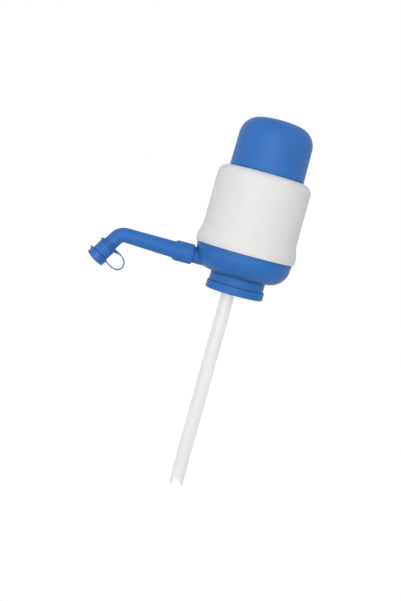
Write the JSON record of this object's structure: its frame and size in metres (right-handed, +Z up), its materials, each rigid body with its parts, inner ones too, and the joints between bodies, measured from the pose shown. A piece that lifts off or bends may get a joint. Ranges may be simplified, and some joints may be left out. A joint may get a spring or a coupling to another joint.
{
  "type": "water jug hand pump",
  "caption": "Manual water pump: domed press cap over a white shell, bowl with neck collar, swivel spout with tethered cap, and a long clear suction tube.",
  "frame": {"origin": "centre of the seat that the rim of the jug's neck comes up against, on the pump's axis", "axes": "+Z up along the pump's axis, -X along the outlet boss towards the spout"},
  "size_m": [0.2165, 0.1096, 0.4058],
  "materials": {
    "blue_plastic": "satin moulded plastic",
    "blue_soft_plastic": "satin, slightly soft moulded plastic",
    "white_plastic": "soft satin white plastic",
    "clear_plastic": "clear, slightly milky tube",
    "bellows_rubber": "soft off-white rubber",
    "inner_plastic": "plain moulded plastic",
    "steel": "drawn stainless steel",
    "valve_rubber": "translucent white silicone",
    "seal_rubber": "black rubber"
  },
  "bodies": {
    "base": {"base_bowl": "blue_plastic", "neck_collar": "blue_plastic", "neck_gasket": "valve_rubber", "suction_tube": "clear_plastic", "outer_shell": "white_plastic", "bellows": "bellows_rubber", "bellows_clamp_ring": "inner_plastic", "clamp_screws": "steel", "return_spring": "steel", "discharge_valve": "valve_rubber", "outlet_seal": "seal_rubber"},
    "press": {"press_cap": "blue_plastic", "bellows_head": "inner_plastic", "intake_valve": "valve_rubber"},
    "spout": {"spout": "blue_plastic", "strap_ring": "blue_soft_plastic", "cap_strap": "blue_soft_plastic"},
    "cap": {"spout_cap": "blue_soft_plastic"}
  },
  "joints": [
    {"name": "press_stroke", "type": "slide", "parent": "base", "child": "press", "axis": [0, 0, -1], "range_m": [0, 0.045], "stiffness_N_per_m": 250, "springref_m": -0.03, "deforming": ["bellows", "return_spring"]},
    {"name": "spout_swivel", "type": "hinge", "parent": "base", "child": "spout", "pos_m": [-0.0605, 0, 0.01325], "axis": [1, 0, 0], "continuous": true},
    {"name": "spout_cap_pull", "type": "slide", "parent": "spout", "child": "cap", "axis": [-0.524, 0, -0.8517], "range_m": [0, 0.012], "deforming": ["cap_strap"]}
  ]
}
